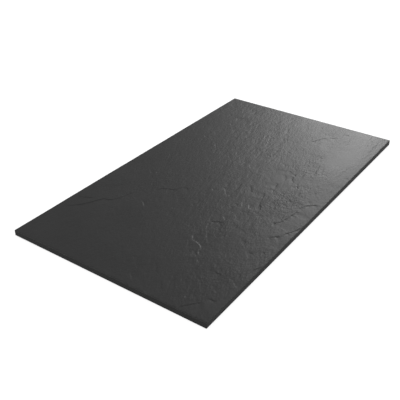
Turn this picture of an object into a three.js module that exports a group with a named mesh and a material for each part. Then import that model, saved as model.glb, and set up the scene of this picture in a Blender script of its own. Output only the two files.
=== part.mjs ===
// A rectangular slab of natural slate, for a hearth, a step or paving.
//
// It is one stone. The top was split along the cleavage, so it is riven: thin flakes have
// broken away and left shallow scars with a ledge along one side. The four sides and the bed,
// which the slab lies on, are sawn flat, and every sawn edge has a small broken arris.
//
// Millimetres, +Z up. The origin is the centre of the bed, +X runs along the long sides and
// +Y along the short ones.

import * as THREE from "three";

// Driving dimensions.
const length = 1320;
const width = 750;
const thickness = 20.8; // from the bed to the highest crest of the riven top
const arris = 1; // the bevel on each sawn edge
const facetPitch = 24; // the spacing of the points that carry the riven relief
const ledgeRun = 16; // how far a ledge takes to drop, measured across it
const endTaper = 0.3; // the share of a ledge's length, at each end, where it fades in and out

// A broad swell left by the split: waves that cross the slab at an angle, each with its height,
// its wavelength, its heading from +X and its phase.
const swells = [
  { height: 0.22, wavelength: 910, heading: 35, phase: 0.4 },
  { height: 0.16, wavelength: 430, heading: -50, phase: 2.1 },
  { height: 0.09, wavelength: 210, heading: 15, phase: 4.0 },
];

// The ledges that flake scars leave. Walking along the points, the scar is on the left. It is
// `drop` deep at the ledge and rises back to the surface over about `reach`.
const ledges = [
  { name: "left notch", drop: 0.5, reach: 90, points: [[-598, -313], [-630, -290], [-660, -273]] },
  { name: "near lip", drop: 0.5, reach: 70, points: [[-105, -375], [-198, -335], [-250, -312]] },
  {
    name: "long lip",
    drop: 0.5,
    reach: 90,
    points: [[42, -362], [25, -332], [-17, -313], [-98, -306], [-160, -288]],
  },
  {
    name: "plateau edge",
    drop: 0.6,
    reach: 110,
    points: [[97, -248], [135, -226], [157, -197], [191, -185], [200, -150]],
  },
  { name: "middle edge", drop: 0.4, reach: 80, points: [[-103, -210], [-60, -188], [-7, -173]] },
  {
    name: "bright scarp",
    drop: 0.5,
    reach: 80,
    points: [[-343, -107], [-372, -127], [-380, -160], [-415, -173], [-470, -203]],
  },
  { name: "twin scarp", drop: 0.5, reach: 80, points: [[-263, -110], [-323, -142], [-365, -175]] },
  { name: "centre scarp", drop: 0.4, reach: 80, points: [[-44, -22], [-77, -55], [-94, -68]] },
  { name: "far scarp", drop: 0.4, reach: 80, points: [[-284, 164], [-302, 135], [-318, 120]] },
  {
    name: "right arc",
    drop: 0.5,
    reach: 90,
    points: [[460, -127], [513, -147], [540, -172], [552, -195]],
  },
  {
    name: "hooked crack",
    drop: 0.6,
    reach: 70,
    points: [[-134, 74], [-124, 87], [-163, 112], [-192, 156]],
  },
  {
    name: "long crack",
    drop: 0.8,
    reach: 130,
    points: [[-260, 215], [-323, 230], [-348, 262], [-383, 287], [-453, 337], [-480, 375]],
  },
];

// The rise of one swell at a place on the slab.
function swellHeight(swell, x, y) {
  const heading = THREE.MathUtils.degToRad(swell.heading);
  const distance = x * Math.cos(heading) + y * Math.sin(heading);
  return swell.height * Math.sin((2 * Math.PI * distance) / swell.wavelength + swell.phase);
}

// The nearest place on a ledge: how far away it is, positive on the scar's side, and how far
// along the ledge it lies, from 0 at its start to 1 at its end.
function nearestOnLedge(ledge, x, y) {
  const place = new THREE.Vector2(x, y);
  const corners = ledge.points.map(([px, py]) => new THREE.Vector2(px, py));
  const nearest = { distance: Infinity, along: 0 };
  let walked = 0;
  for (let i = 1; i < corners.length; i += 1) {
    const start = corners[i - 1];
    const stretch = corners[i].clone().sub(start);
    const offset = place.clone().sub(start);
    const share = THREE.MathUtils.clamp(offset.dot(stretch) / stretch.lengthSq(), 0, 1);
    const away = offset.clone().addScaledVector(stretch, -share);
    if (away.length() < Math.abs(nearest.distance)) {
      nearest.distance = away.length() * Math.sign(stretch.cross(offset) || 1);
      nearest.along = walked + share * stretch.length();
    }
    walked += stretch.length();
  }
  nearest.along /= walked;
  return nearest;
}

// How far a flake scar lowers the surface at a place.
function scarDepth(ledge, x, y) {
  const { distance, along } = nearestOnLedge(ledge, x, y);
  const ledgeStep = THREE.MathUtils.smoothstep(distance, -ledgeRun / 2, ledgeRun / 2);
  const rise = Math.exp(-Math.max(distance, 0) / ledge.reach);
  const fadeIn = THREE.MathUtils.smoothstep(along, 0, endTaper);
  const fadeOut = THREE.MathUtils.smoothstep(1 - along, 0, endTaper);
  return ledge.drop * ledgeStep * rise * fadeIn * fadeOut;
}

// The riven surface, before it is set at the slab's thickness.
function relief(x, y) {
  const swell = swells.reduce((sum, each) => sum + swellHeight(each, x, y), 0);
  const scars = ledges.reduce((sum, each) => sum + scarDepth(each, x, y), 0);
  return swell - scars;
}

// The riven top inside the arrises: a flat grid whose points are lifted so that the highest
// crest is at the slab's full thickness.
function rivenTop(columns, rows) {
  const top = new THREE.PlaneGeometry(length - 2 * arris, width - 2 * arris, columns, rows);
  const points = top.getAttribute("position");
  let crest = -Infinity;
  for (let i = 0; i < points.count; i += 1) {
    points.setZ(i, relief(points.getX(i), points.getY(i)));
    crest = Math.max(crest, points.getZ(i));
  }
  for (let i = 0; i < points.count; i += 1) {
    points.setZ(i, points.getZ(i) + thickness - crest);
  }
  return top;
}

// The numbers of the grid's edge points, one list for each side of the slab, anticlockwise seen
// from above. The grid's rows run from +Y to -Y, and each list ends where the next one starts.
function edgesOfGrid(columns, rows) {
  const at = (column, row) => row * (columns + 1) + column;
  const across = [...Array(columns + 1).keys()];
  const down = [...Array(rows + 1).keys()];
  return [
    across.map((column) => at(column, rows)),
    down.map((row) => at(columns, rows - row)),
    across.map((column) => at(columns - column, 0)),
    down.map((row) => at(0, row)),
  ];
}

// The whole slab as one closed surface: the riven top, the bevel round it, four flat sawn
// sides, the bevel below them, and the bed.
function slabGeometry() {
  const columns = Math.round(length / facetPitch);
  const rows = Math.round(width / facetPitch);
  const top = rivenTop(columns, rows);
  const positions = [...top.getAttribute("position").array];
  const triangles = [...top.index.array];

  const addPoint = (x, y, z) => positions.push(x, y, z) / 3 - 1;
  const addQuad = (a, b, c, d) => triangles.push(a, b, c, a, c, d);

  // The four corners, anticlockwise from the one at -X, -Y.
  const corners = [[-1, -1], [1, -1], [1, 1], [-1, 1]];
  const cornerRing = (inset, z) =>
    corners.map(([sx, sy]) => addPoint(sx * (length / 2 - inset), sy * (width / 2 - inset), z));
  const sideFoot = cornerRing(0, arris);
  const bedCorners = cornerRing(arris, 0);

  // The lip is the top of a sawn side: below the riven edge by the arris, and outside it. Two
  // sides share the lip's point at a corner.
  const lipPoints = new Map();
  const lipBelow = (topPoint) => {
    if (!lipPoints.has(topPoint)) {
      const [x, y, z] = positions.slice(3 * topPoint, 3 * topPoint + 3);
      const outX = Math.abs(x) > length / 2 - 1.5 * arris ? (Math.sign(x) * length) / 2 : x;
      const outY = Math.abs(y) > width / 2 - 1.5 * arris ? (Math.sign(y) * width) / 2 : y;
      lipPoints.set(topPoint, addPoint(outX, outY, z - arris));
    }
    return lipPoints.get(topPoint);
  };

  edgesOfGrid(columns, rows).forEach((edge, side) => {
    const nextSide = (side + 1) % corners.length;
    const lip = edge.map(lipBelow);
    const middle = Math.floor(lip.length / 2);
    for (let i = 1; i < edge.length; i += 1) {
      addQuad(edge[i - 1], lip[i - 1], lip[i], edge[i]);
      // A flat side is a fan from each foot corner, and the two fans meet at its middle.
      const foot = i <= middle ? sideFoot[side] : sideFoot[nextSide];
      triangles.push(foot, lip[i], lip[i - 1]);
    }
    triangles.push(sideFoot[side], sideFoot[nextSide], lip[middle]);
    addQuad(sideFoot[side], bedCorners[side], bedCorners[nextSide], sideFoot[nextSide]);
  });
  addQuad(bedCorners[0], bedCorners[3], bedCorners[2], bedCorners[1]);

  const slab = new THREE.BufferGeometry();
  slab.setAttribute("position", new THREE.Float32BufferAttribute(positions, 3));
  slab.setIndex(triangles);
  slab.computeVertexNormals();
  return slab;
}

// Charcoal slate, dull with a slight sheen off the cleavage.
function slateMaterial() {
  return new THREE.MeshStandardMaterial({
    color: 0x3b3c3d,
    roughness: 0.55,
    metalness: 0,
    flatShading: true,
  });
}

const slab = new THREE.Mesh(slabGeometry(), slateMaterial());
slab.name = "slate_slab";

const part = new THREE.Group();
part.add(slab);

export default part;
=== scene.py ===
"""A slab of riven slate, lying on a pale floor in soft studio light.

The slab is one stone. Its top was split along the cleavage, so it carries ledges, small flake
scars and fine wrinkles, hardly any of them as much as a millimetre high. Its sides and its bed
are sawn.

The stone is worked out in millimetres, as a height over the bed for each point of a fine grid,
and turned into metres when the mesh is made. The camera, the lights and the floor are in metres.
"""

import math

import bpy
import numpy as np
from mathutils import Matrix, Vector


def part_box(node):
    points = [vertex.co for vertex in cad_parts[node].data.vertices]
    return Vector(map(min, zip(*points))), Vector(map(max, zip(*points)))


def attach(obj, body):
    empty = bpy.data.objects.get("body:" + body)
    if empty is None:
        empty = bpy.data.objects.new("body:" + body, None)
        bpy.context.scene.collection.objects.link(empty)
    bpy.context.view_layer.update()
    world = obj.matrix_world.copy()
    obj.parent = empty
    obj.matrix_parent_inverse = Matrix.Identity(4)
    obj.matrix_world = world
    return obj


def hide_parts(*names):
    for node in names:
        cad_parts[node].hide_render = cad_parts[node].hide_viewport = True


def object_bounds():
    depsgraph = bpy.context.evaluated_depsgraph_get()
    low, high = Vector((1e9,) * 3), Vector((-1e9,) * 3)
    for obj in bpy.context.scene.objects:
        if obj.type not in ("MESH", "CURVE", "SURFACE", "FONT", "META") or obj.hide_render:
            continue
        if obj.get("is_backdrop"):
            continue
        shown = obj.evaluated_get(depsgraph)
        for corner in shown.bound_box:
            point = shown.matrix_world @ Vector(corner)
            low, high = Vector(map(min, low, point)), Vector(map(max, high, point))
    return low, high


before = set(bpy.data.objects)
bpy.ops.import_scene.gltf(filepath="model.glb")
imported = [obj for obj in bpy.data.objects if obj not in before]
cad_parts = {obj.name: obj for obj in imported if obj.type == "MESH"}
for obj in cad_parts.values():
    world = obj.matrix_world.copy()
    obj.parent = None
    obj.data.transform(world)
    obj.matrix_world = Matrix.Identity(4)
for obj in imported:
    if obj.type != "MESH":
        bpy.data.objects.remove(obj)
cad_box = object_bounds()

MM = 0.001
SLAB_NODE = "slate_slab"

# The slab's size, from the CAD node, in millimetres.
low_corner, high_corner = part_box(SLAB_NODE)
LENGTH = (high_corner[0] - low_corner[0]) / MM
WIDTH = (high_corner[1] - low_corner[1]) / MM
CREST = high_corner[2] / MM
CREST_MARGIN = 0.02  # keeps the highest crest just inside the CAD box

# The grid that the surface is worked out on, and the triangles left once it is thinned where
# it is smooth.
PITCH = 2.2
EDGE_INSETS = (0.0, 0.15, 0.4, 0.8, 1.2)  # closer lines that round the arris
TRIANGLES_LEFT = 192_000
SIDE_ROWS = 6
BED_STEP = 86  # grid lines from one coarse line of the bed to the next

# The sawn edges and sides.
ARRIS = 0.9
CHIP_DEPTH = 1.1
CHIP_NOISE = ((1, 23), (0.6, 9))  # strength and wavelength of the noise that places the chips
CHIP_RANGE = (0.42, 0.75)  # the values of that noise where a chip starts and is at its deepest
CORNER_RADIUS = 1.4
BED_BEVEL = 0.8
SAW_RELIEF = 0.05
SAW_WAVELENGTH = 40
SAW_SQUASH = 6  # how much shorter the saw's waves are down a side than along it

# The first seed of each noise. Each layer after the first takes the next seed.
RAGGED_SEED = 11
UNEVEN_SEED = 15
BEND_SEED = 17
WAVE_SEED = 21
WRINKLE_SEED = 25
PATCHY_SEED = 31
CHIP_SEED = 41
SAW_SEED = 51
SCAR_SEED = 7

# A broad swell left by the split: height, wavelength, heading from +X in degrees, and phase.
SWELLS = (
    (0.22, 910, 35, 0.4),
    (0.16, 430, -50, 2.1),
    (0.09, 210, 15, 4.0),
)


LEDGE_RUN = 1.8  # how far a ledge takes to drop, unless it says otherwise


def ledge(drop, *points, run=LEDGE_RUN):
    """A ledge left by a broken flake: it drops over a run, and the lower side rises slowly back.

    Walking along the points, the lower side is on the left.
    """
    return drop, run, points


LEDGE_REACH = 45  # over which the lower side rises back, at most half the ledge's length
LEDGE_WINDOW = 4 * LEDGE_REACH  # beyond which a ledge is no longer felt
LEDGE_FADE = 18  # over which a ledge dies away at each end, at most 0.4 of its length
TEAR_REACH = 9  # how far below the ledge its floor is torn
LEDGE_RAGGED = ((4, 40), (2.5, 11))  # how far its line wanders, and over what wavelength
LEDGE_UNEVEN = ((0.6, 28), (0.6, 12))  # how much its depth varies, and over what wavelength
LEDGES = (
    # The near left corner.
    ledge(0.75, (-594, -320), (-612, -304), (-630, -291), (-643, -281), (-670, -269)),
    ledge(0.85, (-574, -354), (-575, -338), (-573, -318)),
    ledge(0.75, (-465, -302), (-464, -285), (-464, -274), (-450, -264)),
    ledge(0.50, (-456, -287), (-443, -278)),
    ledge(0.70, (-356, -374), (-376, -366), (-392, -361), (-410, -358), (-424, -351)),
    ledge(0.45, (-468, -337), (-480, -345), (-488, -354), (-492, -372)),
    ledge(0.65, (-313, -349), (-304, -344), (-294, -338)),
    ledge(0.50, (-302, -272), (-288, -265), (-276, -260)),
    ledge(0.40, (-331, -324), (-322, -303)),
    ledge(0.40, (-409, -325), (-396, -317)),
    # The left end.
    ledge(0.50, (-622, -196), (-605, -182), (-588, -165)),
    ledge(0.35, (-572, -142), (-548, -121), (-526, -98)),
    ledge(0.50, (-602, -65), (-620, -80), (-642, -98)),
    # The bright scarps and their dark companions.
    ledge(
        0.75, (-334, -101), (-356, -110), (-370, -122), (-374, -140), (-379, -156), (-394, -169),
        (-408, -172), run=3,
    ),
    ledge(0.65, (-398, -166), (-412, -173), (-418, -180), (-428, -192)),
    ledge(0.55, (-434, -184), (-420, -170), (-402, -162)),
    ledge(0.40, (-428, -189), (-444, -194), (-470, -205)),
    ledge(0.35, (-482, -199), (-460, -188), (-442, -177)),
    ledge(0.55, (-254, -108), (-276, -113), (-300, -126)),
    ledge(0.40, (-288, -120), (-316, -138), (-346, -158)),
    ledge(0.40, (-334, -150), (-362, -172)),
    ledge(0.25, (-369, -97), (-388, -115), (-418, -134), (-445, -143), (-462, -151)),
    ledge(0.95, (-226, -149), (-235, -140), (-242, -128), (-257, -108)),
    ledge(0.50, (-195, -124), (-221, -140)),
    ledge(0.30, (-316, -200), (-290, -190), (-270, -183)),
    ledge(0.50, (-255, -177), (-269, -187)),
    ledge(0.40, (-252, -237), (-226, -224)),
    ledge(0.40, (-248, -204), (-214, -194)),
    # The two lips along the near edge, and the nicks torn in them.
    ledge(
        0.48, (-88, -380), (-122, -368), (-150, -362), (-171, -347), (-200, -336), (-214, -322),
        (-250, -309),
    ),
    ledge(0.50, (-194, -338), (-211, -325)),
    ledge(0.65, (-162, -350), (-175, -344)),
    ledge(0.50, (-116, -367), (-147, -364)),
    ledge(0.44, (43, -364), (31, -339), (14, -325), (-16, -312), (-40, -318), (-62, -313)),
    ledge(0.60, (-30, -317), (-62, -313), (-100, -306), (-126, -300), (-142, -287), (-166, -287)),
    ledge(0.65, (-137, -294), (-144, -279)),
    ledge(0.65, (-97, -306), (-112, -305)),
    ledge(0.70, (-60, -313), (-75, -310)),
    ledge(0.65, (24, -330), (8, -321)),
    ledge(0.70, (39, -353), (30, -339)),
    ledge(0.40, (43, -321), (29, -323)),
    # The middle.
    ledge(0.80, (-86, -156), (-100, -165), (-118, -174)),
    ledge(0.50, (-84, -125), (-100, -136), (-120, -151)),
    ledge(0.50, (-124, -134), (-106, -123)),
    ledge(0.48, (-44, -22), (-62, -40), (-76, -54), (-94, -68), run=5),
    ledge(0.55, (-64, -73), (-30, -72), (0, -70), (18, -65), run=3),
    ledge(0.45, (-20, -132), (4, -112), (26, -94)),
    ledge(0.60, (-110, -212), (-80, -198), (-50, -185), (-24, -177)),
    ledge(0.65, (-36, -182), (-10, -173), (10, -166)),
    ledge(0.30, (-164, -205), (-128, -199)),
    ledge(0.50, (26, -188), (47, -179)),
    ledge(0.75, (52, -182), (72, -176), (94, -168), run=3),
    ledge(0.45, (44, -200), (28, -237), run=2.5),
    ledge(0.45, (26, -212), (8, -248), (-4, -268), run=2.5),
    ledge(0.40, (14, -198), (-2, -230), run=2.5),
    ledge(0.45, (6, -254), (-12, -282), run=2.5),
    # The edge of the plateau, in broken pieces.
    ledge(0.22, (197, -155), (176, -118), (149, -86), (120, -72), run=3),
    ledge(0.90, (97, -250), (106, -243), (118, -237), run=3),
    ledge(0.40, (114, -239), (137, -230)),
    ledge(0.70, (131, -216), (138, -204), (150, -199), (174, -196), run=3),
    ledge(0.90, (170, -200), (191, -191), run=3),
    ledge(0.40, (190, -186), (192, -170), (199, -154)),
    # The smooth flake near the right corner and its torn rim.
    ledge(0.36, (214, -264), (240, -250), (276, -242), (318, -234)),
    ledge(0.42, (212, -271), (235, -275), (262, -268), (300, -255)),
    ledge(0.70, (236, -297), (254, -285)),
    ledge(0.35, (250, -203), (290, -196), (328, -183)),
    ledge(0.35, (350, -224), (359, -206)),
    ledge(0.30, (470, -188), (446, -193), (426, -201), run=3),
    ledge(0.30, (489, -206), (493, -190), run=3),
    ledge(0.25, (484, -242), (444, -248), run=3),
    ledge(0.22, (604, -230), (588, -240), (560, -244), (510, -248), run=3),
    ledge(0.22, (552, -300), (516, -306), run=3),
    ledge(0.25, (626, -342), (575, -345), (530, -344), run=3),
    ledge(0.35, (496, -353), (524, -357)),
    ledge(0.85, (258, -370), (270, -362)),
    ledge(0.70, (600, -228), (604, -196), run=3),
    # The arc and the dashes beyond it.
    ledge(0.70, (532, -158), (514, -148), (500, -139), (486, -131), (472, -127), (448, -122), run=3),
    ledge(0.60, (552, -198), (542, -172), (526, -160), run=3),
    ledge(0.55, (548, -172), (566, -166)),
    ledge(0.50, (540, -137), (560, -144)),
    ledge(0.50, (594, -104), (608, -97)),
    ledge(0.70, (248, -51), (264, -41)),
    ledge(0.55, (296, -51), (314, -44)),
    # The long crack, its branch, and the hooked crack.
    ledge(
        0.60, (-332, 236), (-347, 252), (-350, 270), (-376, 284), (-400, 294), (-424, 309),
        (-440, 324), run=4,
    ),
    ledge(0.30, (-362, 301), (-372, 312), (-380, 325), (-387, 342), run=3),
    ledge(0.40, (-142, 62), (-128, 73), (-123, 86), run=3),
    ledge(0.55, (-158, 99), (-164, 110), (-168, 128), (-178, 147), (-195, 157), run=3),
    ledge(0.50, (-183, 36), (-194, 52), (-207, 70), run=3),
    ledge(0.65, (-284, 164), (-292, 147), (-302, 135), (-318, 120)),
    # The far side of the right end.
    ledge(0.55, (508, 206), (496, 222), (487, 238), (482, 262), run=3),
    ledge(0.35, (480, 272), (502, 294)),
    ledge(0.35, (556, 203), (585, 215), (610, 232)),
    ledge(0.40, (292, 133), (328, 162)),
    # Bright flecks.
    ledge(0.35, (400, 42), (352, 20), (300, 8)),
    ledge(0.35, (272, 4), (236, 0), (200, -6)),
    ledge(0.45, (160, -8), (124, -32)),
    ledge(0.50, (476, 247), (448, 234)),
    ledge(0.40, (422, 247), (402, 236)),
    ledge(0.40, (216, 82), (186, 68)),
    ledge(0.40, (416, 50), (398, 38)),
    ledge(0.40, (456, 16), (434, 4)),
    ledge(0.40, (162, 34), (142, 20)),
    ledge(0.35, (258, 266), (242, 255)),
    ledge(0.40, (-256, 50), (-268, 30)),
    ledge(0.40, (-198, 3), (-212, -7)),
    ledge(0.40, (-540, -24), (-555, -36)),
    ledge(0.50, (-72, 4), (-90, -10)),
    ledge(0.35, (52, 288), (24, 274), (0, 262)),
    ledge(0.35, (196, 328), (172, 312), (148, 303)),
)

# Hairline cracks, along which shade is painted into the stone's colour: it is made a little darker
# there, as painted shade in the cracks.
CRACK_SHADE_WIDTH = 2.6
SHADED_CRACK_LINES = (
    (
        (-250, 211), (-285, 221), (-315, 228), (-335, 239), (-347, 252), (-350, 270),
        (-376, 284), (-400, 294), (-424, 309), (-444, 328), (-466, 349),
    ),
    ((-358, 296), (-372, 312), (-380, 325), (-387, 342), (-390, 362)),
    (
        (-146, 58), (-128, 73), (-123, 86), (-134, 95), (-155, 101), (-163, 110), (-168, 128),
        (-178, 147), (-200, 159),
    ),
    ((450, -122), (486, -131), (514, -148), (540, -171), (553, -196)),
)

# Where the surface is rugged and where it split clean: centre, radii and weight.
BASE_RUGGEDNESS = 0.55
RUGGED_PATCHES = (
    (430, 60, 330, 260, 0.15),
    (-60, -245, 150, 45, 0.42),
    (15, -262, 62, 48, 0.85),
    (240, -215, 110, 80, 0.60),
    (-300, -130, 170, 110, 0.30),
    (-520, -270, 150, 60, 0.38),
    (-350, -340, 110, 30, 0.30),
    (-200, 230, 150, 80, 0.40),
)
SMOOTH_PATCHES = (
    (430, 270, 240, 110, 0.25),
    (440, -278, 155, 60, 0.88),
    (122, -165, 72, 62, 0.85),
    (-560, 100, 150, 170, 0.10),
    (-50, -335, 100, 18, 0.60),
    (-285, -225, 70, 30, 0.40),
    (-620, -330, 30, 20, 0.80),
)

# Where the stone shines a little more: centre, radii, and how much less rough it is.
SHINY_PATCHES = (
    (375, -302, 135, 80, 0.025),
    (650, -290, 140, 110, 0.034),
    (640, -50, 90, 60, 0.014),
)

# How the ruggedness varies from place to place: strength and wavelength.
PATCHY_NOISE = ((0.6, 70),)

# The small flake scars that cover the rugged places, drawn out along the cleavage grain.
SCAR_COUNT = 9000
SCAR_RADIUS = (3, 9)
SCAR_LENGTH = (1.4, 3.6)  # of the scar's radius
SCAR_DEPTH = 0.0102  # of the scar's radius
SCAR_FLAT = 0.75  # the share of the radius where the rim starts
SCAR_HEADING = math.radians(13)
SCAR_SPREAD = 0.3  # how much the headings differ, in radians

# Wrinkles: height, wavelength, and the heading of their ridges from +X in degrees.
WRINKLES = (
    (0.24, 16, -14),
    (0.22, 12.5, 13),
    (0.22, 9, -14),
    (0.18, 7.5, 13),
)

# Broader waves, cut into beds with a short ledge between one bed and the next.
WAVES = (
    (0.35, 46, 13),
    (0.27, 24, 5),
)
BED_THICKNESS = 0.14
BED_LEDGE = (0.4, 0.6)  # where in a bed's thickness its ledge starts and ends
TERRACING = 0.5  # from 0 for smooth waves to 1 for full beds

WAVE_STRETCH = 3.0  # how much longer the waves and wrinkles are than they are wide
WAVE_BEND = ((8, 70),)  # how far they bend, and over what wavelength


def smoothstep(value, start, end):
    share = np.clip((value - start) / (end - start), 0, 1)
    return share * share * (3 - 2 * share)


def gradient_noise(x, y, wavelength, seed):
    """Smooth seeded noise, about -0.7 to 0.7, whose hills are about one wavelength apart."""
    u = x / wavelength
    v = y / wavelength
    first_u = int(np.floor(u.min()))
    first_v = int(np.floor(v.min()))
    cell_u = np.floor(u).astype(int)
    cell_v = np.floor(v).astype(int)
    shape = (cell_u.max() - first_u + 2, cell_v.max() - first_v + 2)
    angle = np.random.default_rng(seed).uniform(0, 2 * math.pi, shape)
    slope_u = np.cos(angle)
    slope_v = np.sin(angle)
    part_u = u - cell_u
    part_v = v - cell_v
    fade_u = part_u ** 3 * (part_u * (part_u * 6 - 15) + 10)
    fade_v = part_v ** 3 * (part_v * (part_v * 6 - 15) + 10)

    def corner(step_u, step_v):
        place = (cell_u - first_u + step_u, cell_v - first_v + step_v)
        return slope_u[place] * (part_u - step_u) + slope_v[place] * (part_v - step_v)

    near = corner(0, 0) * (1 - fade_u) + corner(1, 0) * fade_u
    far = corner(0, 1) * (1 - fade_u) + corner(1, 1) * fade_u
    return near * (1 - fade_v) + far * fade_v


def layered_noise(x, y, layers, first_seed):
    """The sum of layers of noise, each with its strength and wavelength."""
    total = np.zeros_like(x)
    for seed, (strength, wavelength) in enumerate(layers, start=first_seed):
        total += strength * gradient_noise(x, y, wavelength, seed)
    return total


def wandered(x, y, layers, first_seed):
    """The places, moved about by layers of noise."""
    new_x = x + layered_noise(x, y, layers, first_seed)
    new_y = y + layered_noise(x, y, layers, first_seed + len(layers))
    return new_x, new_y


def patch_weight(x, y, patch):
    """A soft oval patch: its weight at the centre, and about a third of it one radius away."""
    centre_x, centre_y, radius_x, radius_y, weight = patch
    away = ((x - centre_x) / radius_x) ** 2 + ((y - centre_y) / radius_y) ** 2
    return weight * np.exp(-away)


def ruggedness(x, y):
    """How broken the riven surface is, from 0 where it split clean to about 1."""
    rugged = np.full_like(x, BASE_RUGGEDNESS)
    for patch in RUGGED_PATCHES:
        rugged += patch_weight(x, y, patch)
    for patch in SMOOTH_PATCHES:
        rugged *= 1 - patch_weight(x, y, patch)
    return rugged * (1 + layered_noise(x, y, PATCHY_NOISE, PATCHY_SEED))


def swell_height(x, y):
    height = np.zeros_like(x)
    for rise, wavelength, heading, phase in SWELLS:
        angle = math.radians(heading)
        along = x * math.cos(angle) + y * math.sin(angle)
        height += rise * np.sin(2 * math.pi * along / wavelength + phase)
    return height


def nearest_on_line(x, y, points):
    """The distance to an open line, positive on its left, how far along that is, and its length."""
    distance = np.full_like(x, np.inf)
    along = np.zeros_like(x)
    walked = 0.0
    for start, end in zip(points[:-1], points[1:]):
        run_x = end[0] - start[0]
        run_y = end[1] - start[1]
        run = math.hypot(run_x, run_y)
        off_x = x - start[0]
        off_y = y - start[1]
        share = np.clip((off_x * run_x + off_y * run_y) / run ** 2, 0, 1)
        away = np.hypot(off_x - share * run_x, off_y - share * run_y)
        side = np.where(run_x * off_y - run_y * off_x < 0, -1.0, 1.0)
        closer = away < np.abs(distance)
        distance = np.where(closer, away * side, distance)
        along = np.where(closer, walked + share * run, along)
        walked += run
    return distance, along, walked


def faded_ends(along, length, fade):
    """1 along most of a line, fading to 0 at both ends."""
    return smoothstep(along, 0, fade) * smoothstep(length - along, 0, fade)


def ledge_depth(x, y, uneven, drop, run, points):
    """How far one ledge lowers the surface. It's torn to an uneven depth just below the ledge."""
    distance, along, length = nearest_on_line(x, y, points)
    step = smoothstep(distance, -run / 2, run / 2)
    below = np.maximum(distance, 0)
    rise = np.exp(-below / min(LEDGE_REACH, length / 2))
    torn = 1 + uneven * np.exp(-below / TEAR_REACH)
    return drop * step * rise * torn * faded_ends(along, length, min(LEDGE_FADE, length / 2.5))


def painted_crack_shade(x, y):
    """How near each place is to a crack line, which sets the painted shade there: from 1 in the
    crack to 0 well away from it.
    """
    nearness = np.zeros_like(x)
    for points in SHADED_CRACK_LINES:
        distance, along, length = nearest_on_line(x, y, points)
        ends = faded_ends(along, length, LEDGE_FADE)
        nearness = np.maximum(nearness, ends * np.exp(-(distance / CRACK_SHADE_WIDTH) ** 2))
    return nearness


def window_round(x, y, points, margin):
    """The part of the grid that lies within a margin of some points, as a pair of slices."""
    columns = x[:, y.shape[1] // 2]
    rows = y[x.shape[0] // 2, :]
    low_x, low_y = np.min(points, axis=0) - margin
    high_x, high_y = np.max(points, axis=0) + margin
    first_i, last_i = np.searchsorted(columns, (low_x, high_x))
    first_j, last_j = np.searchsorted(rows, (low_y, high_y))
    return slice(first_i, last_i), slice(first_j, last_j)


def scar_field(x, y, rugged):
    """Small flake scars drawn out along the grain, each with a ledge on one of its long sides."""
    draw = np.random.default_rng(SCAR_SEED)
    centres_x = draw.uniform(-LENGTH / 2, LENGTH / 2, SCAR_COUNT)
    centres_y = draw.uniform(-WIDTH / 2, WIDTH / 2, SCAR_COUNT)
    small, big = SCAR_RADIUS
    radii = small + (big - small) * draw.uniform(0, 1, SCAR_COUNT) ** 2
    sides = draw.choice((-1, 1), SCAR_COUNT) * math.pi / 2
    headings = SCAR_HEADING + sides + draw.normal(0, SCAR_SPREAD, SCAR_COUNT)
    lengths = draw.uniform(*SCAR_LENGTH, SCAR_COUNT)
    chances = draw.uniform(0, 1, SCAR_COUNT)
    depth = np.zeros_like(x)
    scars = zip(centres_x, centres_y, radii, headings, lengths, chances)
    for centre_x, centre_y, radius, heading, length, chance in scars:
        window = window_round(x, y, [(centre_x, centre_y)], radius * length)
        if rugged[window].size == 0 or chance > rugged[window].mean():
            continue
        off_x = (x[window] - centre_x) / radius
        off_y = (y[window] - centre_y) / radius
        ahead = off_x * math.cos(heading) + off_y * math.sin(heading)
        across = (off_y * math.cos(heading) - off_x * math.sin(heading)) / length
        inside = 1 - smoothstep(np.hypot(ahead, across), SCAR_FLAT, 1)
        depth[window] += SCAR_DEPTH * radius * inside * (1 + ahead)
    return depth


def wave_height(x, y, waves, first_seed):
    """The sum of some waves of seeded noise, each drawn out along its own heading."""
    height = np.zeros_like(x)
    for seed, (rise, wavelength, heading) in enumerate(waves, start=first_seed):
        angle = math.radians(heading)
        along = (x * math.cos(angle) + y * math.sin(angle)) / WAVE_STRETCH
        across = y * math.cos(angle) - x * math.sin(angle)
        height += rise * gradient_noise(along, across, wavelength, seed)
    return height


def terraced(height):
    """The height cut into flat beds, with a short ledge between one bed and the next."""
    beds = np.floor(height / BED_THICKNESS)
    share = height / BED_THICKNESS - beds
    return BED_THICKNESS * (beds + smoothstep(share, *BED_LEDGE))


def riven_height(x, y):
    """The riven surface, with its highest crest at nought."""
    rugged = ruggedness(x, y)
    height = swell_height(x, y)
    # Ledges break raggedly: their lines are followed from places that wander a little, and they
    # are deeper in some places than in others.
    ragged_x, ragged_y = wandered(x, y, LEDGE_RAGGED, RAGGED_SEED)
    uneven = layered_noise(x, y, LEDGE_UNEVEN, UNEVEN_SEED)
    for drop, run, points in LEDGES:
        part = window_round(x, y, points, LEDGE_WINDOW)
        height[part] -= ledge_depth(ragged_x[part], ragged_y[part], uneven[part], drop, run, points)
    height -= scar_field(x, y, rugged)
    bent_x, bent_y = wandered(x, y, WAVE_BEND, BEND_SEED)
    waves = wave_height(bent_x, bent_y, WAVES, WAVE_SEED)
    height += rugged * (waves + TERRACING * (terraced(waves) - waves))
    height += rugged * wave_height(bent_x, bent_y, WRINKLES, WRINKLE_SEED)
    return height - height.max()


def grid_lines(extent):
    """The grid's lines across one extent of the slab: even, and closer by the two edges."""
    inner = extent / 2 - EDGE_INSETS[-1]
    even = np.linspace(-inner, inner, round(2 * inner / PITCH) + 1)
    band = extent / 2 - np.array(EDGE_INSETS[:-1])
    return np.concatenate([-band, even, band[::-1]])


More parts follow.
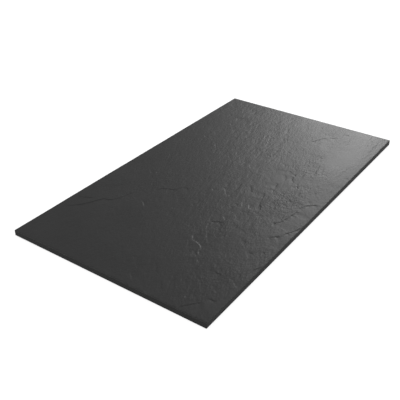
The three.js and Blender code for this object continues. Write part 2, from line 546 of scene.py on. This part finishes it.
def round_corners(x, y):
    """Moves the grid's points near the four upright corners onto a small radius."""
    into_x = np.abs(x) - (LENGTH / 2 - CORNER_RADIUS)
    into_y = np.abs(y) - (WIDTH / 2 - CORNER_RADIUS)
    in_corner = (into_x > 0) & (into_y > 0)
    safe_x = np.where(in_corner, into_x, 1)
    safe_y = np.where(in_corner, into_y, 1)
    shrink = np.maximum(safe_x, safe_y) / np.hypot(safe_x, safe_y)
    new_x = np.sign(x) * (LENGTH / 2 - CORNER_RADIUS + safe_x * shrink)
    new_y = np.sign(y) * (WIDTH / 2 - CORNER_RADIUS + safe_y * shrink)
    return np.where(in_corner, new_x, x), np.where(in_corner, new_y, y)


def arris_radius(x, y):
    """The radius of the top's broken edge: small, with a few nibbled chips along it."""
    nibble = layered_noise(x, y, CHIP_NOISE, CHIP_SEED)
    return ARRIS + CHIP_DEPTH * smoothstep(nibble, *CHIP_RANGE)


def outward(x, y):
    """The level direction out of the slab at points of its outline."""
    into_x = np.abs(x) - (LENGTH / 2 - CORNER_RADIUS)
    into_y = np.abs(y) - (WIDTH / 2 - CORNER_RADIUS)
    out_x = np.sign(x) * np.clip(into_x, 0, None)
    out_y = np.sign(y) * np.clip(into_y, 0, None)
    size = np.hypot(out_x, out_y)
    return out_x / size, out_y / size


def top_surface():
    """The grid's points on the riven top, as x, y and height, with its arris rounded."""
    lines_x = grid_lines(LENGTH)
    lines_y = grid_lines(WIDTH)
    x, y = np.meshgrid(lines_x, lines_y, indexing="ij")
    inset = np.minimum(LENGTH / 2 - np.abs(x), WIDTH / 2 - np.abs(y))
    height = CREST - CREST_MARGIN + riven_height(x, y)
    radius = arris_radius(x, y)
    short = np.clip(radius - inset, 0, None)
    height -= radius - np.sqrt(radius ** 2 - short ** 2)
    x, y = round_corners(x, y)
    return x, y, height


def outline_of(count_x, count_y):
    """The grid's outline, anticlockwise from the corner at -X, -Y, as (column, row) pairs."""
    last_x = count_x - 1
    last_y = count_y - 1
    ring = [(i, 0) for i in range(last_x)]
    ring += [(last_x, j) for j in range(last_y)]
    ring += [(i, last_y) for i in range(last_x, 0, -1)]
    ring += [(0, j) for j in range(last_y, 0, -1)]
    return ring


def bed_faces(count_x, count_y, ring_number, add_point, lines_x, lines_y):
    """The flat bed: coarse cells, whose edges along the outline carry all the outline's points."""
    stops_x = [*range(0, count_x - BED_STEP // 2, BED_STEP), count_x - 1]
    stops_y = [*range(0, count_y - BED_STEP // 2, BED_STEP), count_y - 1]
    inner = {}

    def number(i, j):
        if (i, j) in ring_number:
            return ring_number[i, j]
        if (i, j) not in inner:
            inner[i, j] = add_point(lines_x[i], lines_y[j], 0)
        return inner[i, j]

    def walk(start, end):
        """The points from start up to but not including end, all of them along the outline."""
        (i, j), (end_i, end_j) = start, end
        on_outline = (i == end_i and i in (0, count_x - 1)) or (j == end_j and j in (0, count_y - 1))
        if not on_outline:
            return [number(i, j)]
        step_i = int(np.sign(end_i - i))
        step_j = int(np.sign(end_j - j))
        length = abs(end_i - i) + abs(end_j - j)
        return [number(i + step_i * k, j + step_j * k) for k in range(length)]

    faces = []
    for i0, i1 in zip(stops_x[:-1], stops_x[1:]):
        for j0, j1 in zip(stops_y[:-1], stops_y[1:]):
            corners = [(i0, j0), (i0, j1), (i1, j1), (i1, j0)]
            face = []
            for start, end in zip(corners, corners[1:] + corners[:1]):
                face += walk(start, end)
            faces.append(face)
    return faces


def slab_mesh():
    """The whole stone as one closed mesh: riven top, sawn sides and sawn bed."""
    x, y, height = top_surface()
    count_x, count_y = x.shape
    top_points = np.stack([x, y, height], axis=-1).reshape(-1, 3)
    number = np.arange(count_x * count_y).reshape(count_x, count_y)
    top_faces = np.stack(
        [number[:-1, :-1], number[1:, :-1], number[1:, 1:], number[:-1, 1:]], axis=-1
    ).reshape(-1, 4)

    ring = outline_of(count_x, count_y)
    ring_i, ring_j = np.array(ring).T
    lip_x = x[ring_i, ring_j]
    lip_y = y[ring_i, ring_j]
    lip_z = height[ring_i, ring_j]
    out_x, out_y = outward(lip_x, lip_y)
    around = np.cumsum(np.hypot(np.diff(lip_x, prepend=lip_x[0]), np.diff(lip_y, prepend=lip_y[0])))

    # The sides, in rows from just under the lip to the bevel, and then the edge of the bed.
    rows = []
    for row in range(1, SIDE_ROWS + 1):
        share = row / SIDE_ROWS
        z = lip_z + (BED_BEVEL - lip_z) * share
        relief = SAW_RELIEF if row < SIDE_ROWS else 0
        sawn = gradient_noise(around, z * SAW_SQUASH, SAW_WAVELENGTH, SAW_SEED)
        inward = relief * np.abs(sawn)
        rows.append(np.stack([lip_x - out_x * inward, lip_y - out_y * inward, z], axis=-1))
    foot_x = lip_x - out_x * BED_BEVEL
    foot_y = lip_y - out_y * BED_BEVEL
    rows.append(np.stack([foot_x, foot_y, np.zeros_like(foot_x)], axis=-1))

    points = [*top_points, *np.concatenate(rows)]
    side_faces = []
    upper = number[ring_i, ring_j]
    for row in range(len(rows)):
        lower = len(top_points) + row * len(ring) + np.arange(len(ring))
        side_faces.append(
            np.stack([upper, lower, np.roll(lower, -1), np.roll(upper, -1)], axis=-1)
        )
        upper = lower
    side_faces = np.concatenate(side_faces)

    ring_number = {place: int(upper[k]) for k, place in enumerate(ring)}

    def add_point(px, py, pz):
        points.append((px, py, pz))
        return len(points) - 1

    bed = bed_faces(count_x, count_y, ring_number, add_point, x[:, 1], y[1, :])

    mesh = mesh_of(np.array(points) * MM, [top_faces, side_faces, bed])
    return thinned(mesh, len(top_points))


def mesh_of(points, groups):
    """A smooth-shaded mesh whose groups of faces take material slots 0, 1, 2 and so on."""
    faces = [face for group in groups for face in group]
    sizes = np.array([len(face) for face in faces])
    slots = np.repeat(np.arange(len(groups)), [len(group) for group in groups])
    mesh = bpy.data.meshes.new("riven_slab")
    mesh.vertices.add(len(points))
    mesh.vertices.foreach_set("co", points.ravel())
    mesh.loops.add(int(sizes.sum()))
    mesh.loops.foreach_set("vertex_index", np.concatenate(faces))
    mesh.polygons.add(len(faces))
    mesh.polygons.foreach_set("loop_start", np.cumsum(sizes) - sizes)
    mesh.polygons.foreach_set("material_index", slots)
    mesh.polygons.foreach_set("use_smooth", np.ones(len(faces), dtype=bool))
    mesh.update(calc_edges=True)
    mesh.validate()
    return mesh


def thinned(mesh, top_count):
    """The mesh with its riven top thinned where it is smooth. The sawn faces stay as they are."""
    heavy = bpy.data.objects.new("heavy_slab", mesh)
    bpy.context.scene.collection.objects.link(heavy)
    top = heavy.vertex_groups.new(name="riven_top")
    top.add(range(top_count), 1.0, "REPLACE")
    triangles = sum(len(face.vertices) - 2 for face in mesh.polygons)
    thin = heavy.modifiers.new("thin", "DECIMATE")
    thin.ratio = TRIANGLES_LEFT / triangles
    thin.use_collapse_triangulate = True
    thin.vertex_group = top.name
    shown = heavy.evaluated_get(bpy.context.evaluated_depsgraph_get())
    light = bpy.data.meshes.new_from_object(shown)
    light.name = "riven_slab"
    bpy.data.objects.remove(heavy)
    bpy.data.meshes.remove(mesh)
    return light


def record_surface(mesh):
    """Stores how rugged and shiny the stone is at each point, and the painted shade along its
    cracks, for its material.
    """
    places = np.empty(3 * len(mesh.vertices))
    mesh.vertices.foreach_get("co", places)
    x, y, _ = places.reshape(-1, 3).T / MM
    shine = sum(patch_weight(x, y, patch) for patch in SHINY_PATCHES)
    surface = {"ruggedness": ruggedness(x, y), "shine": shine, "painted_crack_shade": painted_crack_shade(x, y)}
    for name, values in surface.items():
        attribute = mesh.attributes.new(name, "FLOAT", "POINT")
        attribute.data.foreach_set("value", values)


# The colours, as greys, and the roughness of the stone. Each pair of tones or roughnesses is
# mapped from noise, and a tone range has the values of the noise where its two tones are reached.
RIVEN_TONES = (0.048, 0.062)
RIVEN_TONE_RANGE = (0.45, 0.95)
RIVEN_ROUGHNESS = (0.407, 0.467)
# Painted shade: the dark grey that the stone's colour goes towards along its cracks.
CRACK_SHADE_TONE = 0.028
SAWN_TONES = (0.017, 0.027)
SAWN_TONE_RANGE = (0.3, 0.75)
SAWN_ROUGHNESS = (0.62, 0.8)

# How many times each noise repeats in a metre, and the finest grain, which is bump.
CLOUD_SCALE = 7
SPECK_SCALE = 420
SPECK_SHARE = 0.35
GRAIN_SCALE = 190
GRAIN_STRETCH = (0.5, 1, 1)
GRAIN_DEPTH = 0.0009
SIDE_SAW_SCALES = (700, 700, 60)
BED_SAW_SCALES = (40, 600, 40)
SAW_LINE_DEPTH = 0.0003
SAW_LINE_STRENGTH = 0.25


def new_material(name):
    """A material with its shader, and short ways to add and join nodes."""
    material = bpy.data.materials.new(name)
    material.use_nodes = True
    nodes = material.node_tree.nodes
    links = material.node_tree.links
    shader = nodes["Principled BSDF"]

    def add(kind, **inputs):
        node = nodes.new(kind)
        for key, value in inputs.items():
            node.inputs[key.replace("_", " ")].default_value = value
        return node

    return material, shader, add, links.new


def grey(level):
    return (level, level, level, 1)


def noise(add, join, place, scale, detail, roughness):
    node = add("ShaderNodeTexNoise", Scale=scale, Detail=detail, Roughness=roughness)
    join(place, node.inputs["Vector"])
    return node.outputs["Fac"]


def stretched(add, join, place, scales):
    """The places, drawn out by a scale along each axis."""
    node = add("ShaderNodeMapping", Scale=scales)
    join(place, node.inputs["Vector"])
    return node.outputs["Vector"]


def greys(add, join, value, tones, value_range):
    """A grey from one tone to another, as a value goes through its range."""
    node = add("ShaderNodeValToRGB")
    for element, tone, position in zip(node.color_ramp.elements, tones, value_range):
        element.position = position
        element.color = grey(tone)
    join(value, node.inputs["Fac"])
    return node.outputs["Color"]


def mapped(add, join, value, ends):
    """A value from 0 to 1, mapped onto another range."""
    node = add("ShaderNodeMapRange", To_Min=ends[0], To_Max=ends[1])
    join(value, node.inputs["Value"])
    return node.outputs["Result"]


def worked_out(add, join, operation, first, second):
    """The result of an operation on two values."""
    node = add("ShaderNodeMath")
    node.operation = operation
    join(first, node.inputs[0])
    join(second, node.inputs[1])
    return node.outputs[0]


def stored(add, name):
    """A value stored on the mesh's points."""
    node = add("ShaderNodeAttribute")
    node.attribute_name = name
    return node.outputs["Fac"]


def add_bump(add, join, shader, height, strength, depth):
    bump = add("ShaderNodeBump", Strength=strength, Distance=depth)
    join(height, bump.inputs["Height"])
    join(bump.outputs["Normal"], shader.inputs["Normal"])


def riven_colour(add, join, place, cloud):
    """Charcoal, faintly clouded and specked, and darkened by painted shade along the cracks."""
    speck = noise(add, join, place, SPECK_SCALE, detail=3, roughness=0.6)
    blend = add("ShaderNodeMath")
    blend.operation = "MULTIPLY_ADD"
    blend.inputs[1].default_value = SPECK_SHARE
    join(speck, blend.inputs[0])
    join(cloud, blend.inputs[2])
    charcoal = greys(add, join, blend.outputs[0], RIVEN_TONES, RIVEN_TONE_RANGE)
    # Painted shade: along the cracks the colour is mixed towards a dark grey, standing in for the
    # shade inside them.
    crack_shaded = add("ShaderNodeMix")
    crack_shaded.data_type = "RGBA"
    join(stored(add, "painted_crack_shade"), crack_shaded.inputs["Factor"])
    join(charcoal, crack_shaded.inputs["A"])
    crack_shaded.inputs["B"].default_value = grey(CRACK_SHADE_TONE)
    return crack_shaded.outputs["Result"]


def riven_material():
    """The split face: charcoal, with a low sheen and a fine cleavage grain."""
    material, shader, add, join = new_material("riven_slate")
    shader.inputs["IOR"].default_value = 1.5
    place = add("ShaderNodeTexCoord").outputs["Object"]
    cloud = noise(add, join, place, CLOUD_SCALE, detail=6, roughness=0.6)
    join(riven_colour(add, join, place, cloud), shader.inputs["Base Color"])

    dull = mapped(add, join, cloud, RIVEN_ROUGHNESS)
    polished = worked_out(add, join, "SUBTRACT", dull, stored(add, "shine"))
    join(polished, shader.inputs["Roughness"])

    # The finest grain: wrinkles a few millimetres apart, deeper where the stone is rugged.
    drawn = stretched(add, join, place, GRAIN_STRETCH)
    grain = noise(add, join, drawn, GRAIN_SCALE, detail=2, roughness=0.5)
    deeper = worked_out(add, join, "MULTIPLY", grain, stored(add, "ruggedness"))
    add_bump(add, join, shader, deeper, strength=1, depth=GRAIN_DEPTH)
    return material


def sawn_material(name, scales):
    """A sawn face: darker and duller, with fine saw lines drawn out by the scales."""
    material, shader, add, join = new_material(name)
    shader.inputs["IOR"].default_value = 1.45
    shader.inputs["Specular IOR Level"].default_value = 0.2
    place = add("ShaderNodeTexCoord").outputs["Object"]
    drawn = stretched(add, join, place, scales)
    lines = noise(add, join, drawn, scale=1, detail=4, roughness=0.6)
    tone = greys(add, join, lines, SAWN_TONES, SAWN_TONE_RANGE)
    join(tone, shader.inputs["Base Color"])
    join(mapped(add, join, lines, SAWN_ROUGHNESS), shader.inputs["Roughness"])
    add_bump(add, join, shader, lines, SAW_LINE_STRENGTH, SAW_LINE_DEPTH)
    return material


def add_slab():
    mesh = slab_mesh()
    record_surface(mesh)
    slab = bpy.data.objects.new("riven_slab", mesh)
    bpy.context.scene.collection.objects.link(slab)
    slab.data.materials.append(riven_material())
    slab.data.materials.append(sawn_material("sawn_side", SIDE_SAW_SCALES))
    slab.data.materials.append(sawn_material("sawn_bed", BED_SAW_SCALES))
    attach(slab, "root")
    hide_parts(SLAB_NODE)


def direction(heading, elevation):
    """The unit vector at a heading, turned from +X, and at an elevation."""
    level = math.cos(elevation)
    return Vector((math.cos(heading) * level, math.sin(heading) * level, math.sin(elevation)))


# The view: the middle of the picture falls on this point of the slab's top.
AIM = Vector((-0.1647, -0.0064, 0.0197))
CAMERA_HEADING = math.radians(-145.09)
CAMERA_ELEVATION = math.radians(31.99)
CAMERA_DISTANCE = 2.2162
CAMERA_ROLL = math.radians(0.264)
LENS_MM = 57.60
SENSOR_MM = 36


def add_camera():
    data = bpy.data.cameras.new("camera")
    data.lens = LENS_MM
    data.sensor_width = SENSOR_MM
    camera = bpy.data.objects.new("camera", data)
    back = direction(CAMERA_HEADING, CAMERA_ELEVATION)
    look = (-back).to_track_quat("-Z", "Y").to_matrix() @ Matrix.Rotation(CAMERA_ROLL, 3, "Z")
    camera.matrix_world = Matrix.Translation(AIM + back * CAMERA_DISTANCE) @ look.to_4x4()
    bpy.context.scene.collection.objects.link(camera)
    bpy.context.scene.camera = camera


# One soft box, low behind the slab's right end, gives the sheen; the room fills evenly.
SOFTBOX_HEADING = math.radians(18.2)
SOFTBOX_ELEVATION = math.radians(24.45)
SOFTBOX_DISTANCE = 10.0
SOFTBOX_SIZE = 2.2
SOFTBOX_POWER = 143.0
ROOM_FILL = 0.316


def add_softbox():
    data = bpy.data.lights.new("softbox", "AREA")
    data.shape = "DISK"
    data.size = SOFTBOX_SIZE
    data.energy = SOFTBOX_POWER
    softbox = bpy.data.objects.new("softbox", data)
    towards = direction(SOFTBOX_HEADING, SOFTBOX_ELEVATION)
    softbox.location = towards * SOFTBOX_DISTANCE
    softbox.rotation_mode = "QUATERNION"
    softbox.rotation_quaternion = towards.to_track_quat("Z", "Y")
    bpy.context.scene.collection.objects.link(softbox)


def add_room():
    world = bpy.data.worlds.new("room")
    world.use_nodes = True
    sky = world.node_tree.nodes["Background"]
    sky.inputs["Color"].default_value = grey(1)
    sky.inputs["Strength"].default_value = ROOM_FILL
    bpy.context.scene.world = world


FLOOR_HALF = 40.0
FLOOR_TONE = 0.9
FLOOR_GLOW = 0.80
FLOOR_GAP = 0.0005  # under the slab, so that the two don't fight for the same place


def floor_material():
    """Pale and matt, with a soft glow that keeps it even and nearly shadowless."""
    material, shader, _, _ = new_material("pale_floor")
    shader.inputs["Base Color"].default_value = grey(FLOOR_TONE)
    shader.inputs["Roughness"].default_value = 0.9
    shader.inputs["Specular IOR Level"].default_value = 0.1
    shader.inputs["Emission Color"].default_value = grey(1)
    shader.inputs["Emission Strength"].default_value = FLOOR_GLOW
    return material


def add_floor():
    mesh = bpy.data.meshes.new("floor")
    corners = [(-1, -1), (1, -1), (1, 1), (-1, 1)]
    points = [(sx * FLOOR_HALF, sy * FLOOR_HALF, 0) for sx, sy in corners]
    mesh.from_pydata(points, [], [(0, 1, 2, 3)])
    floor = bpy.data.objects.new("floor", mesh)
    floor.location.z = -FLOOR_GAP
    bpy.context.scene.collection.objects.link(floor)
    floor.data.materials.append(floor_material())
    floor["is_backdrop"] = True


add_slab()
add_camera()
add_softbox()
add_room()
add_floor()
bpy.context.scene.view_settings.view_transform = "Standard"

boxes = {"cad": cad_box, "visual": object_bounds()}
{name: [list(corner) for corner in box] for name, box in boxes.items()}
